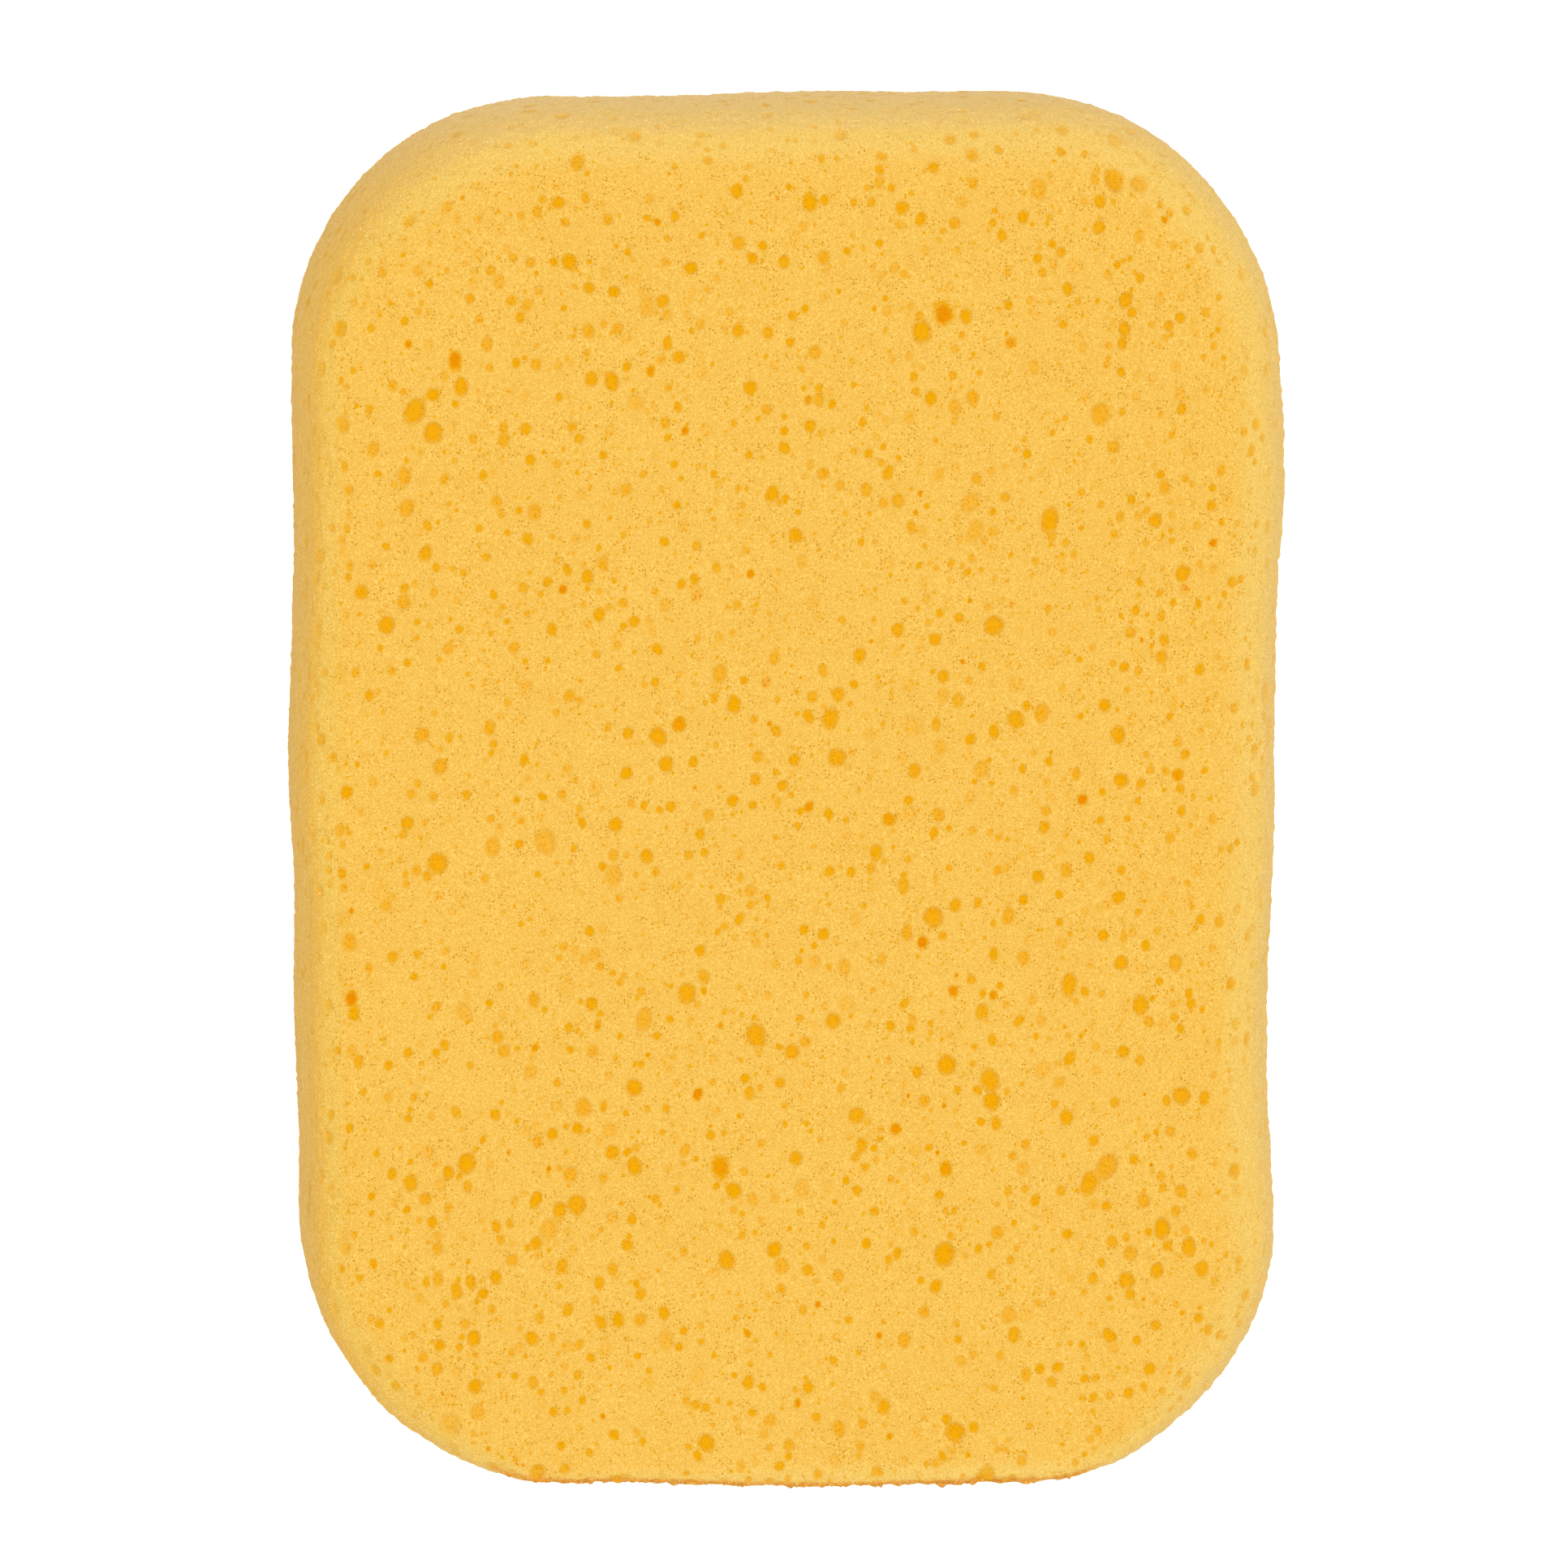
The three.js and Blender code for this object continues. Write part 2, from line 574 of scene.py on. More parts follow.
@dataclass(frozen=True)
class OpenPores:
    """The bubbles that the knife opened: how many, how large, and how deep they show.

    A pore's tone says how fully it shows: near 1 where the bubble is wide open, less where a skin
    veils it, and above 1 in the few deep ones. Its sieve is the share of it that shows as separate
    small holes instead of one patch.
    """

    per_area: float = 0.37 / MM**2
    typical_width: float = 0.95 * MM
    width_spread: float = 1.7
    widest: float = 2.7 * MM
    narrowest: float = 0.42 * MM
    stretch: float = 1.2
    stretch_spread: tuple[float, float] = (2.2, 0.5)
    stretch_most: float = 3.0
    lean: float = 0.06
    lean_spread: float = 0.28
    apart: float = 1.12
    depth_share: float = 0.22
    faint_depth: float = 0.3
    open_share: tuple[float, float] = (0.19, 0.62)
    open_widths: tuple[float, float] = (0.6 * MM, 1.7 * MM)
    open_tones: tuple[float, float] = (0.93, 1.0)
    veiled_tones: tuple[float, float] = (0.12, 0.85)
    deep_share: float = 0.03
    deep_tone: float = 0.8
    deep_level: float = 0.9
    sieve_luck: tuple[float, float] = (0.40, 0.90)
    sieve_width: float = 1.9 * MM
    sieve_open: float = 0.7
    level_range: tuple[float, float] = (0.45, 0.97)
    wall_share: float = 0.68
    rim_dip: float = 0.35
    reach: float = 2.6
    raggedness: float = 0.16
    ragged_size: float = 0.9 * MM
    seed: int = 758

    def scatter(self, points: np.ndarray, normals: np.ndarray, area: float) -> dict[str, np.ndarray]:
        """Draws the pores at random over the surface, fewer and fainter round the wall.

        Widths follow a Weibull curve, and the wide ones are more often wide open. Each pore is
        stretched along the block's length, the way the foam rose, by a share that follows a gamma
        curve, and leans a little. The tone dips by up to rim_dip where the surface tilts from face
        to wall.

        Args:
            points: The surface's points, evenly spread, of shape (n, 3).
            normals: The surface's normals there.
            area: The surface's area, in square metres.

        Returns:
            For each pore: its centre, radius, stretch, lean, depth, tone and sieve.
        """
        draw = np.random.default_rng(self.seed)
        middle = draw.integers(0, len(points), round(self.per_area * area))
        flat = eased(np.abs(normals[middle, 2]), *self.level_range)
        kept = draw.random(len(middle)) < self.wall_share + (1.0 - self.wall_share) * flat
        middle, flat = middle[kept], flat[kept]
        count = len(middle)
        width = self.typical_width * draw.weibull(self.width_spread, count)
        width = np.clip(width, self.narrowest, self.widest)
        narrow_share, wide_share = self.open_share
        wide = eased(width, *self.open_widths)
        opened = draw.random(count) < narrow_share + (wide_share - narrow_share) * wide
        open_tone = draw.uniform(*self.open_tones, count)
        veiled_tone = draw.uniform(*self.veiled_tones, count)
        tone = np.where(opened, open_tone, veiled_tone)
        level = np.abs(normals[middle, 2])
        dip = self.rim_dip * 4.0 * level * (1.0 - level)
        tone = tone * (self.wall_share + (1.0 - self.wall_share) * flat - dip)
        deep = (draw.random(count) < self.deep_share) & (flat > self.deep_level)
        more = draw.gamma(*self.stretch_spread, count).clip(0.0, self.stretch_most)
        lean = draw.normal(self.lean, self.lean_spread, count)
        deep_tone = 1.0 + self.deep_tone * draw.random(count)
        sieve = eased(draw.random(count), *self.sieve_luck) * (width < self.sieve_width)
        pores = {
            "centre": points[middle],
            "radius": width / 2.0,
            "stretch": 1.0 + (self.stretch - 1.0) * more,
            "lean": lean,
            "depth": self.depth_share * width * (self.faint_depth + (1.0 - self.faint_depth) * tone),
            "tone": np.where(deep, deep_tone, tone),
            "sieve": sieve * (1.0 - opened * self.sieve_open),
        }
        return self._thin(pores)

    def _thin(self, pores: dict[str, np.ndarray]) -> dict[str, np.ndarray]:
        """Drops the later of every two pores that would run into each other.

        Args:
            pores: Pores with a centre and a radius each.

        Returns:
            The pores that stay.
        """
        one, other = Cubes(pores["centre"], self.widest * self.apart).pairs(pores["centre"])
        gap = np.linalg.norm(pores["centre"][one] - pores["centre"][other], axis=1)
        clash = (one > other) & (gap < self.apart * (pores["radius"][one] + pores["radius"][other]))
        stays = np.ones(len(pores["radius"]), bool)
        stays[one[clash]] = False
        return {name: values[stays] for name, values in pores.items()}

    def press(self, points: np.ndarray, pores: dict[str, np.ndarray]) -> dict[str, np.ndarray]:
        """Finds how deep in a pore each point lies.

        A point's way out from a pore's centre is 0 there and 1 on its rim: the length of the
        offset over the radius, with the part along the lean divided by the stretch. Noise makes
        the rim uneven. The hollow is depth * sqrt(1 - way^3), and where pores meet the deeper
        hollow wins. The other numbers come from the pore with the shortest way.

        Args:
            points: The surface's points, of shape (n, 3).
            pores: What scatter gave.

        Returns:
            For each point: the hollow in metres, 1 less the way out, the tone and the sieve.
        """
        point, pore = Cubes(points, 1.1 * self.widest).pairs(pores["centre"])
        offset = points[point] - pores["centre"][pore]
        lean = pores["lean"][pore]
        along = offset[:, 0] * np.sin(lean) + offset[:, 1] * np.cos(lean)
        stretch = pores["stretch"][pore]
        length2 = (offset**2).sum(axis=1) - along**2 * (1.0 - 1.0 / stretch**2)
        way = np.sqrt(np.maximum(length2, 0.0)) / pores["radius"][pore]
        near = way < self.reach
        point, pore, way = point[near], pore[near], way[near]
        way = way * (1.0 + self.raggedness * LatticeNoise(21).at(points[point], self.ragged_size))
        order = np.lexsort((way, point))
        first = np.ones(len(order), bool)
        first[1:] = point[order][1:] != point[order][:-1]
        best = order[first]
        found = {
            "hollow": np.zeros(len(points)),
            "inside": np.full(len(points), 1.0 - self.reach),
            "tone": np.zeros(len(points)),
            "sieve": np.zeros(len(points)),
        }
        hollow = pores["depth"][pore] * np.sqrt(np.clip(1.0 - way**3, 0.0, 1.0))
        np.maximum.at(found["hollow"], point, hollow)
        found["inside"][point[best]] = 1.0 - way[best]
        found["tone"][point[best]] = pores["tone"][pore[best]]
        found["sieve"][point[best]] = pores["sieve"][pore[best]]
        return found


@dataclass(frozen=True)
class FoamGrain:
    """The roughness of the cut foam itself, between the pores: the sizes and heights of its parts."""

    cells: float = 0.95 * MM
    cell_height: float = 0.17 * MM
    tufts: float = 3.2 * MM
    tuft_height: float = 0.09 * MM
    face_share: float = 0.25
    crumbs: float = 0.85 * MM
    crumb_height: float = 0.62 * MM
    crumb_floor: float = 0.33

    def height(self, points: np.ndarray, rim: np.ndarray, torn: np.ndarray) -> np.ndarray:
        """Fine cells on broader tufts, less on the flat faces, and crumbs where the foam is torn.

        The cells and the tufts are sums of smooth noise. The crumbs are the part of the noise's
        magnitude above the crumb floor, so that they stand apart on a level lip.

        Args:
            points: The surface's points, of shape (n, 3).
            rim: 0 on the flat faces, 1 on the wall.
            torn: 0 where the knife cut clean, 1 where the foam tore.

        Returns:
            The height at each point, in metres.
        """
        fine = LatticeNoise(31).layered(points, self.cells, 2)
        broad = LatticeNoise(32).layered(points, self.tufts, 2)
        share = self.face_share + (1.0 - self.face_share) * rim
        cut = (self.cell_height * fine + self.tuft_height * broad) * share
        loose = np.abs(LatticeNoise(33).layered(points, self.crumbs, 2)) - self.crumb_floor
        return cut + self.crumb_height * np.maximum(loose, 0.0) * torn


# ---------------------------------------------------------------------------------------------
# Shader maths
# ---------------------------------------------------------------------------------------------

Number = float | int


@dataclass(frozen=True)
class Signal:
    """A socket's value, on which Python's operators add Math nodes."""

    bench: "Bench"
    socket: bpy.types.NodeSocket

    def _math(self, operation: str, *values: "Signal | Number") -> "Signal":
        """Adds a Math node with that operation on those values."""
        sockets = dict(enumerate(values))
        return self.bench.add("ShaderNodeMath", {"operation": operation}, sockets)

    def __add__(self, other: "Signal | Number") -> "Signal":
        """self + other."""
        return self._math("ADD", self, other)

    def __radd__(self, other: Number) -> "Signal":
        """other + self."""
        return self._math("ADD", other, self)

    def __sub__(self, other: "Signal | Number") -> "Signal":
        """self - other."""
        return self._math("SUBTRACT", self, other)

    def __rsub__(self, other: Number) -> "Signal":
        """other - self."""
        return self._math("SUBTRACT", other, self)

    def __mul__(self, other: "Signal | Number") -> "Signal":
        """self * other."""
        return self._math("MULTIPLY", self, other)

    def __rmul__(self, other: Number) -> "Signal":
        """other * self."""
        return self._math("MULTIPLY", other, self)

    def clamped(self) -> "Signal":
        """self, held between 0 and 1."""
        return self.bench.add("ShaderNodeClamp", {}, {"Value": self})

    def ramp(self, low: Number, high: Number) -> "Signal":
        """0 below low, 1 above high, and an S curve between them."""
        settings = {"interpolation_type": "SMOOTHSTEP"}
        sockets = {"Value": self, "From Min": low, "From Max": high}
        return self.bench.add("ShaderNodeMapRange", settings, sockets)


@dataclass(frozen=True)
class Bench:
    """A material's node tree, and the one way that nodes are added to it."""

    tree: bpy.types.NodeTree

    def node(
        self,
        kind: str,
        settings: dict[str, object],
        sockets: dict[str | int, object],
    ) -> bpy.types.Node:
        """Adds a node, sets it, and gives its sockets their values or links.

        Args:
            kind: The node's type.
            settings: Its own settings, such as a Math node's operation.
            sockets: A value, or a Signal to link, for sockets by name or number.

        Returns:
            The node.
        """
        made = self.tree.nodes.new(kind)
        for name, value in settings.items():
            setattr(made, name, value)
        for key, value in sockets.items():
            if isinstance(value, Signal):
                self.tree.links.new(value.socket, made.inputs[key])
            else:
                made.inputs[key].default_value = value
        return made

    def add(
        self,
        kind: str,
        settings: dict[str, object],
        sockets: dict[str | int, object],
        output: str | int = 0,
    ) -> Signal:
        """Adds a node as node() does, and returns one of its outputs."""
        return Signal(self, self.node(kind, settings, sockets).outputs[output])

    def blend(self, share: Signal | Number, start: object, end: object) -> Signal:
        """The colour that share of the way from start to end."""
        # A Mix node's sockets for colours are its factor, number 0, and numbers 6 and 7.
        sockets = {0: share, 6: start, 7: end}
        return self.add("ShaderNodeMix", {"data_type": "RGBA"}, sockets, output=2)

    def noise(self, place: Signal, grain: float, detail: float = 2.0) -> Signal:
        """Smooth noise from 0 to 1 whose blobs are about grain metres across."""
        sockets = {"Vector": place, "Scale": 1.0 / grain, "Detail": detail}
        return self.add("ShaderNodeTexNoise", {}, sockets)

    def cells(self, place: Signal, spacing: float) -> Signal:
        """Distance from the middle of the nearest of random cells, as a share of their spacing."""
        sockets = {"Vector": place, "Scale": 1.0 / spacing}
        return self.add("ShaderNodeTexVoronoi", {"feature": "F1"}, sockets, output="Distance")

    def value(self, name: str) -> Signal:
        """The number that the mesh keeps under that name."""
        return self.add("ShaderNodeAttribute", {"attribute_name": name}, {}, output="Fac")


Colour = tuple[float, float, float, float]


@dataclass(frozen=True)
class FoamFinish:
    """Yellow hydrophilic foam: pale struts, and painted shade: olive flecks in the cells, amber
    inside the pores.

    The rim and the wall are warm and darker on the left of the block, as painted shade, and paler on
    its right, as painted light, and the wall has another pair of colours low down, where it has sunk
    well below the upper face, darker and greyer as painted shade. The rim's paleness is partly
    painted sheen.
    """

    strut: Colour = (0.87, 0.513, 0.090, 1.0)
    strut_warm: Colour = (0.85, 0.470, 0.066, 1.0)
    strut_lit: Colour = (0.96, 0.62, 0.150, 1.0)
    strut_dim: Colour = (0.74, 0.40, 0.045, 1.0)
    rim_shaded_side: Colour = (0.84, 0.545, 0.105, 1.0)
    rim_lit_side: Colour = (0.87, 0.595, 0.150, 1.0)
    wall_shaded_side: Colour = (0.84, 0.485, 0.083, 1.0)
    wall_shaded_side_low_shade: Colour = (0.74, 0.455, 0.125, 1.0)
    wall_lit_side: Colour = (0.80, 0.565, 0.205, 1.0)
    wall_lit_side_low_shade: Colour = (0.766, 0.555, 0.267, 1.0)
    near_edge_dark: Colour = (0.76, 0.285, 0.030, 1.0)
    near_edge_darker: Colour = (0.52, 0.150, 0.014, 1.0)
    painted_glint: Colour = (1.0, 0.82, 0.38, 1.0)
    fleck_shade: Colour = (0.62, 0.285, 0.014, 1.0)
    amber: Colour = (0.81, 0.385, 0.0015, 1.0)
    amber_deep_shade: Colour = (0.76, 0.225, 0.0015, 1.0)
    cell: float = 0.42 * MM
    grain: float = 0.25 * MM
    pin_spacing: float = 2.4 * MM
    cloud: float = 9.0 * MM
    patch: float = 3.2 * MM
    blot: float = 0.7 * MM
    relief_height: float = 0.08 * MM
    relief_strength: float = 0.4

    def material(self) -> bpy.types.Material:
        """Makes the foam's material.

        Returns:
            A material that reads Object coordinates and the mesh's own pore numbers.
        """
        made = bpy.data.materials.new("hydrophilic_foam")
        made.use_nodes = True
        made.node_tree.nodes.clear()
        bench = Bench(made.node_tree)
        place = bench.add("ShaderNodeTexCoord", {}, {}, output="Object")
        inside, tone, sieve, rim = (
            bench.value(name) for name in ("pore_inside", "pore_tone", "pore_sieve", "rim")
        )
        grain = bench.cells(place, self.grain).ramp(0.20, 0.85)
        dots, luck = self._dots(bench, place)
        body = self._body(bench, place, grain, rim)
        # The olive flecks are painted shade in the open cells.
        body = bench.blend(self._flecks(bench, place, dots, luck, rim), body, self.fleck_shade)
        # A pore's rim frays with the grain, and its sieve shows the cells' dots through the skin.
        edge = (inside + (grain - 0.5) * 0.55).ramp(-0.02, 0.14)
        holes = dots * (sieve * 0.7 + 0.3) * (1.0 - rim * 0.7)
        pins = self._pins(bench, place, grain) * (1.0 - rim)
        open_pore = (edge * (tone * (1.0 - sieve * 0.75) + holes) + pins * 0.8).clamped()
        # A tone above 1 is a deep pore, whose middle is darker as painted shade, as are the cells'
        # dots inside a pore.
        depth = ((tone - 1.0).clamped() * inside.ramp(0.0, 0.5) + dots * 0.45).clamped()
        # The amber inside the pores is painted shade of their hollows.
        amber = bench.blend(depth, self.amber, self.amber_deep_shade)
        colour = bench.blend(open_pore, body, amber)
        # Painted highlights: the luckiest few cells of the rim and the wall get a painted glint, as
        # if they caught the light.
        painted_glints = dots * luck.ramp(0.90, 0.96) * rim.ramp(0.10, 0.50)
        colour = bench.blend(painted_glints * 0.8, colour, self.painted_glint)
        sockets = {
            "Height": grain * 0.7 - dots * 0.8 - edge * 0.1,
            "Distance": self.relief_height,
            "Strength": self.relief_strength,
        }
        bump = bench.add("ShaderNodeBump", {}, sockets)
        shader = bench.node(
            "ShaderNodeBsdfPrincipled",
            {},
            {
                "Base Color": colour,
                "Roughness": 0.98 - grain * 0.10,
                "Normal": bump,
                "Specular IOR Level": 0.02,
                "Sheen Weight": 0.10,
                "Sheen Roughness": 0.30,
                "Sheen Tint": (1.0, 0.93, 0.74, 1.0),
            },
        )
        output = bench.node("ShaderNodeOutputMaterial", {}, {})
        made.node_tree.links.new(shader.outputs[0], output.inputs["Surface"])
        return made

    def _body(self, bench: Bench, place: Signal, grain: Signal, rim: Signal) -> Signal:
        """The foam between the pores, from the clouds of the flat faces to the wall.

        Args:
            bench: The material's bench.
            place: Object coordinates.
            grain: 0 in the pits between the struts, 1 on the struts.
            rim: 0 on the flat faces, 1 on the wall.

        Returns:
            The colour, with painted shade in the pits and painted light on the struts.
        """
        clouds = bench.noise(place, self.cloud, detail=3.0).ramp(0.35, 0.70)
        body = bench.blend(clouds * 0.35, self.strut, self.strut_warm)
        # Painted light and shade: the rim and wall are darker and warmer where they face left, as if
        # in shade, and paler where they face elsewhere, as if lit.
        lit_side = bench.value("lit_side")
        upper = bench.blend(lit_side, self.wall_shaded_side, self.wall_lit_side)
        lower = bench.blend(lit_side, self.wall_shaded_side_low_shade, self.wall_lit_side_low_shade)
        # Painted shade: lower down the wall the colours turn darker and greyer.
        wall = bench.blend(bench.value("sunk"), upper, lower)
        # The rim is paler than the face, partly as painted sheen, and gives way to the wall's
        # colours.
        edge = bench.blend(lit_side, self.rim_shaded_side, self.rim_lit_side)
        edge = bench.blend(rim.ramp(0.60, 1.0), edge, wall)
        body = bench.blend(rim.ramp(0.0, 0.50) * 0.9, body, edge)
        torn = bench.value("torn")
        # Along the near upper edge the colour turns darker orange-brown, with darker blots in it.
        blots = bench.noise(place, self.blot).ramp(0.46, 0.62) * torn.ramp(0.45, 0.90)
        body = bench.blend(torn.ramp(0.12, 0.80), body, self.near_edge_dark)
        body = bench.blend(blots * 0.8, body, self.near_edge_darker)
        # Painted light on the struts, and painted shade in the pits between them.
        body = bench.blend(grain.ramp(0.50, 1.0) * 0.60, body, self.strut_lit)
        return bench.blend((1.0 - grain.ramp(0.0, 0.50)) * 0.48, body, self.strut_dim)

    def _flecks(
        self, bench: Bench, place: Signal, dots: Signal, luck: Signal, rim: Signal
    ) -> Signal:
        """How much of each dot is in shadow: little in most places, more in patches."""
        patches = bench.noise(place, self.patch, detail=1.0).ramp(0.42, 0.66)
        strength = (patches * 0.80 + 0.32) * (luck.ramp(0.25, 1.0) * 1.1 + 0.15)
        return (dots * strength * (1.0 - rim * 0.55)).clamped()

    def _dots(self, bench: Bench, place: Signal) -> tuple[Signal, Signal]:
        """The open cells: a dot at the middle of each Voronoi cell, and the cell's own luck."""
        sockets = {"Vector": place, "Scale": 1.0 / self.cell}
        cells = bench.node("ShaderNodeTexVoronoi", {"feature": "F1"}, sockets)
        distance = Signal(bench, cells.outputs["Distance"])
        random_colour = Signal(bench, cells.outputs["Color"])
        luck = bench.add("ShaderNodeSeparateColor", {}, {"Color": random_colour})
        return 1.0 - distance.ramp(0.14, 0.46), luck

    def _pins(self, bench: Bench, place: Signal, grain: Signal) -> Signal:
        """Pores too small for the mesh: discs where the surface passes close to a cell's middle."""
        frayed = bench.cells(place, self.pin_spacing) + (grain - 0.5) * 0.06
        return 1.0 - frayed.ramp(0.075, 0.105)


# ---------------------------------------------------------------------------------------------
# The sponge
# ---------------------------------------------------------------------------------------------


@dataclass
class Sponge:
    """The whole object: one block of foam.

    Each pair is where something begins and where it is complete. The rim and the wall go from their
    colours of painted shade to those of painted light over the lit side turns, by how far a point
    faces right, and the foam turns from face to wall over the rim tilts, in degrees. The pale border
    is a distance in from the outline, where the face is paler, partly as painted sheen. The foam is
    torn along the upper edge of the near side: where it tilts and faces near by those ranges, down to
    depths that wander by the ragged height. The sunk depths lead from the wall's upper colours to its
    lower ones, which are darker as painted shade.
    """

    spacing: float = 0.37 * MM
    lit_side_turns: tuple[float, float] = (-1.0, -0.15)
    rim_tilts: tuple[float, float] = (4.0, 70.0)
    pale_border: tuple[float, float] = (1.5 * MM, 5.0 * MM)
    pale_share: float = 0.43
    torn_tilts: tuple[float, float] = (18.0, 62.0)
    torn_turns: tuple[float, float] = (0.80, 1.0)
    torn_depths: tuple[float, float] = (2.1 * MM, 3.4 * MM)
    torn_run: float = 5.0 * MM
    torn_ragged: float = 0.9 * MM
    sunk_depths: tuple[float, float] = (8.0 * MM, 30.0 * MM)
    pores: OpenPores = field(default_factory=OpenPores)
    grain: FoamGrain = field(default_factory=FoamGrain)
    finish: FoamFinish = field(default_factory=FoamFinish)

    def build(self) -> bpy.types.Object:
        """Makes the foam block where the frame holds it.

        Returns:
            The block, riding on the body and standing for the CAD node.
        """
        low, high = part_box(CAD_NODE)
        shape = BlockShape(low, high, self.spacing)
        points, faces, flat = shape.build()
        normals = outward_normals(points, faces)
        pores = self.pores.scatter(points, normals, self._area(points, faces))
        pressed = self.pores.press(points, pores)
        tilt = np.degrees(np.arccos(np.clip(np.abs(normals[:, 2]), 0.0, 1.0)))
        # Near the outline the face takes a share of the rim, so it too is paler there, partly as
        # painted sheen.
        border = 1.0 - eased(self._way_in(points, low, high), *self.pale_border)
        rim = np.maximum(eased(tilt, *self.rim_tilts), self.pale_share * border)
        facing = normals[:, :2] / np.maximum(np.linalg.norm(normals[:, :2], axis=1), 1e-6)[:, None]
        sunk = high.z - points[:, 2]
        ragged = self.torn_ragged * LatticeNoise(41).layered(points, self.torn_run, 3)
        torn = eased(tilt, *self.torn_tilts) * eased(-facing[:, 1], *self.torn_turns)
        torn *= 1.0 - eased(sunk + ragged, *self.torn_depths)
        depth = pressed["hollow"] - self.grain.height(points, rim, torn)
        surface = points - normals * depth[:, None]
        surface[:, 2] = np.maximum(surface[:, 2], low.z)
        piece = self._mesh(surface, faces, flat)
        kept = {
            "pore_inside": pressed["inside"],
            "pore_tone": pressed["tone"],
            "pore_sieve": pressed["sieve"],
            "rim": rim,
            # Painted light: 0 where the rim and wall take their shaded colours, facing left, and 1
            # where they take the paler lit ones.
            "lit_side": eased(facing[:, 0], *self.lit_side_turns),
            "torn": torn,
            # Painted shade: how far down the wall the darker lower colours have taken over.
            "sunk": eased(sunk, *self.sunk_depths),
        }
        for name, values in kept.items():
            self._keep(piece, name, values)
        piece.data.materials.append(self.finish.material())
        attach(piece, BODY)
        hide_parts(CAD_NODE)
        log.info("pores: %d", len(pores["radius"]))
        return piece

    @staticmethod
    def _way_in(points: np.ndarray, low: Vector, high: Vector) -> np.ndarray:
        """How far inside the outline each point lies, seen from above.

        The outline is a rectangle with round corners: the corner's radius less the length of the
        part of the point's offset that goes past the arcs' centres.

        Args:
            points: The surface's points, of shape (n, 3).
            low: The box's lower corner.
            high: The box's upper corner.

        Returns:
            n distances in metres, none of them more than the corner's radius.
        """
        radius = Outline.corner_radius
        centres = np.array([high.x - low.x, high.y - low.y]) / 2.0 - radius
        past = np.maximum(np.abs(points[:, :2]) - centres, 0.0)
        return radius - np.linalg.norm(past, axis=1)

    @staticmethod
    def _area(points: np.ndarray, faces: np.ndarray) -> float:
        """The surface's area: half the length of the cross product of each face's diagonals."""
        across = points[faces[:, 2]] - points[faces[:, 0]]
        athwart = points[faces[:, 3]] - points[faces[:, 1]]
        return float(np.linalg.norm(np.cross(across, athwart), axis=1).sum() / 2.0)

    @staticmethod
    def _mesh(points: np.ndarray, faces: np.ndarray, flat: np.ndarray) -> bpy.types.Object:
        """Puts points, four-sided faces and their flat map into a smooth mesh at the origin."""
        mesh = bpy.data.meshes.new("foam_sponge")
        mesh.vertices.add(len(points))
        mesh.vertices.foreach_set("co", points.astype(np.float32).ravel())
        mesh.loops.add(faces.size)
        mesh.loops.foreach_set("vertex_index", faces.astype(np.int32).ravel())
        mesh.polygons.add(len(faces))
        mesh.polygons.foreach_set("loop_start", np.arange(0, faces.size, 4, dtype=np.int32))
        mesh.polygons.foreach_set("use_smooth", np.ones(len(faces), bool))
        mesh.update(calc_edges=True)
        mesh.uv_layers.new(name=FLAT_MAP).uv.foreach_set("vector", flat.astype(np.float32).ravel())
        piece = bpy.data.objects.new("foam_sponge", mesh)
        bpy.context.scene.collection.objects.link(piece)
        return piece

    @staticmethod
    def _keep(piece: bpy.types.Object, name: str, values: np.ndarray) -> None:
        """Stores one number for each vertex under that name."""
        kept = piece.data.attributes.new(name, "FLOAT", "POINT")
        kept.data.foreach_set("value", values.astype(np.float32))


# ---------------------------------------------------------------------------------------------
# The studio
# ---------------------------------------------------------------------------------------------


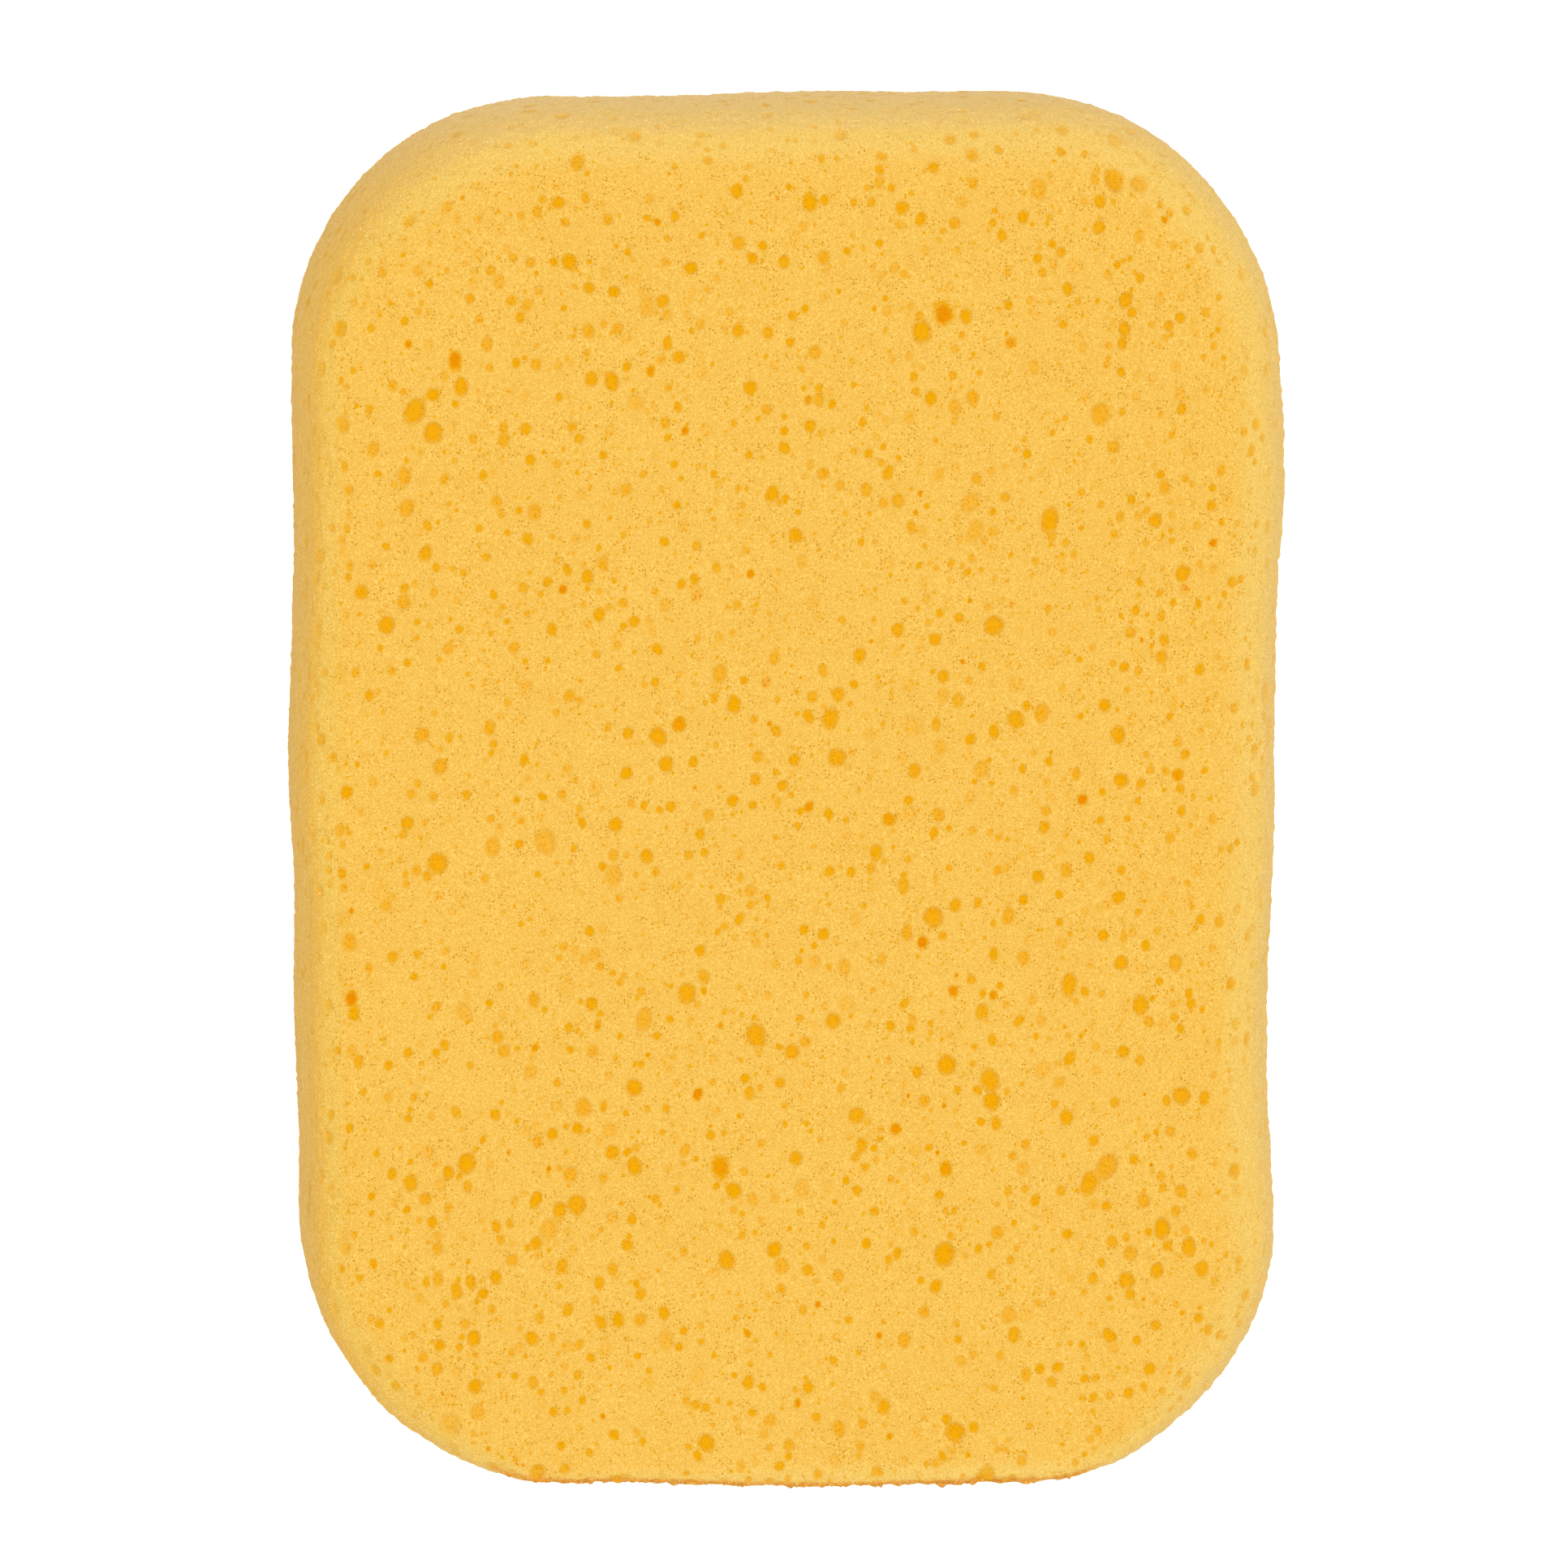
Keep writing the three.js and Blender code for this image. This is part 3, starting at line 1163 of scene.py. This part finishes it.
@dataclass(frozen=True)
class Studio:
    """A pale floor, soft light all round with a little more from above, and the camera."""

    floor_size: float = 12.0
    floor_grey: float = 0.40
    floor_glow: float = 0.78
    sky: float = 0.56
    key_power: float = 0.57
    key_spread: float = 28.0
    key_tilt: tuple[float, float] = (2.0, -3.0)
    lean_left: float = 6.4
    lean_far: float = 7.6
    distance: float = 1.2
    frame_side: float = 0.2194
    aim: tuple[float, float] = (-0.2 * MM, 0.18 * MM)
    sensor: float = 36.0

    def build(self) -> None:
        """Sets up the floor, the light, the way colours are shown and the camera."""
        self._floor()
        self._light()
        self._camera()
        bpy.context.scene.view_settings.view_transform = "Standard"

    def _floor(self) -> None:
        """A large flat square at the height that the block lies on."""
        half = self.floor_size / 2.0
        mesh = bpy.data.meshes.new("floor")
        corners = [(-half, -half, 0.0), (half, -half, 0.0), (half, half, 0.0), (-half, half, 0.0)]
        mesh.from_pydata(corners, [], [(0, 1, 2, 3)])
        floor = bpy.data.objects.new("floor", mesh)
        bpy.context.scene.collection.objects.link(floor)
        paint = bpy.data.materials.new("pale_floor")
        paint.use_nodes = True
        shader = paint.node_tree.nodes["Principled BSDF"]
        shader.inputs["Base Color"].default_value = (*[self.floor_grey] * 3, 1.0)
        shader.inputs["Roughness"].default_value = 1.0
        shader.inputs["Specular IOR Level"].default_value = 0.0
        shader.inputs["Emission Color"].default_value = (1.0, 1.0, 1.0, 1.0)
        shader.inputs["Emission Strength"].default_value = self.floor_glow
        mesh.materials.append(paint)
        floor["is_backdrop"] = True

    def _light(self) -> None:
        """Even white light from all round, white where it is seen, and a broad soft key above."""
        world = bpy.data.worlds.new("studio")
        bpy.context.scene.world = world
        world.use_nodes = True
        world.node_tree.nodes.clear()
        bench = Bench(world.node_tree)
        seen = bench.add("ShaderNodeLightPath", {}, {}, output="Is Camera Ray")
        strength = seen * (1.0 - self.sky) + self.sky
        background = bench.node(
            "ShaderNodeBackground", {}, {"Color": (1.0, 1.0, 1.0, 1.0), "Strength": strength}
        )
        output = bench.node("ShaderNodeOutputWorld", {}, {})
        world.node_tree.links.new(background.outputs[0], output.inputs["Surface"])
        lamp = bpy.data.lights.new("key", "SUN")
        lamp.energy = self.key_power * math.pi
        lamp.angle = math.radians(self.key_spread)
        key = bpy.data.objects.new("key", lamp)
        key.rotation_euler = tuple(math.radians(angle) for angle in (*self.key_tilt[::-1], 0.0))
        bpy.context.scene.collection.objects.link(key)

    def _camera(self) -> None:
        """A long lens high over the block, a little to its left and past its far end."""
        low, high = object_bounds()
        target = (low + high) / 2.0 + Vector((*self.aim, 0.0))
        back = Vector(
            (
                -math.tan(math.radians(self.lean_left)),
                math.tan(math.radians(self.lean_far)),
                1.0,
            )
        ).normalized()
        right = Vector((0.0, 1.0, 0.0)).cross(back).normalized()
        upward = back.cross(right)
        lens = bpy.data.cameras.new("camera")
        lens.sensor_width = self.sensor
        lens.lens = self.sensor * self.distance / self.frame_side
        camera = bpy.data.objects.new("camera", lens)
        turn = Matrix((right, upward, back)).transposed().to_4x4()
        camera.matrix_world = Matrix.Translation(target + back * self.distance) @ turn
        bpy.context.scene.collection.objects.link(camera)
        bpy.context.scene.camera = camera


def pieces_of(sponge: Sponge) -> Iterator[bpy.types.Object]:
    """Builds the sponge's pieces in order."""
    yield sponge.build()


def main() -> None:
    """Builds the sponge and the studio."""
    logging.basicConfig(level=logging.INFO, format="%(name)s: %(message)s")
    for piece in pieces_of(Sponge()):
        mesh = piece.data
        log.info("%s: %d vertices, %d faces", piece.name, len(mesh.vertices), len(mesh.polygons))
    Studio().build()


if __name__ == "__main__":
    main()
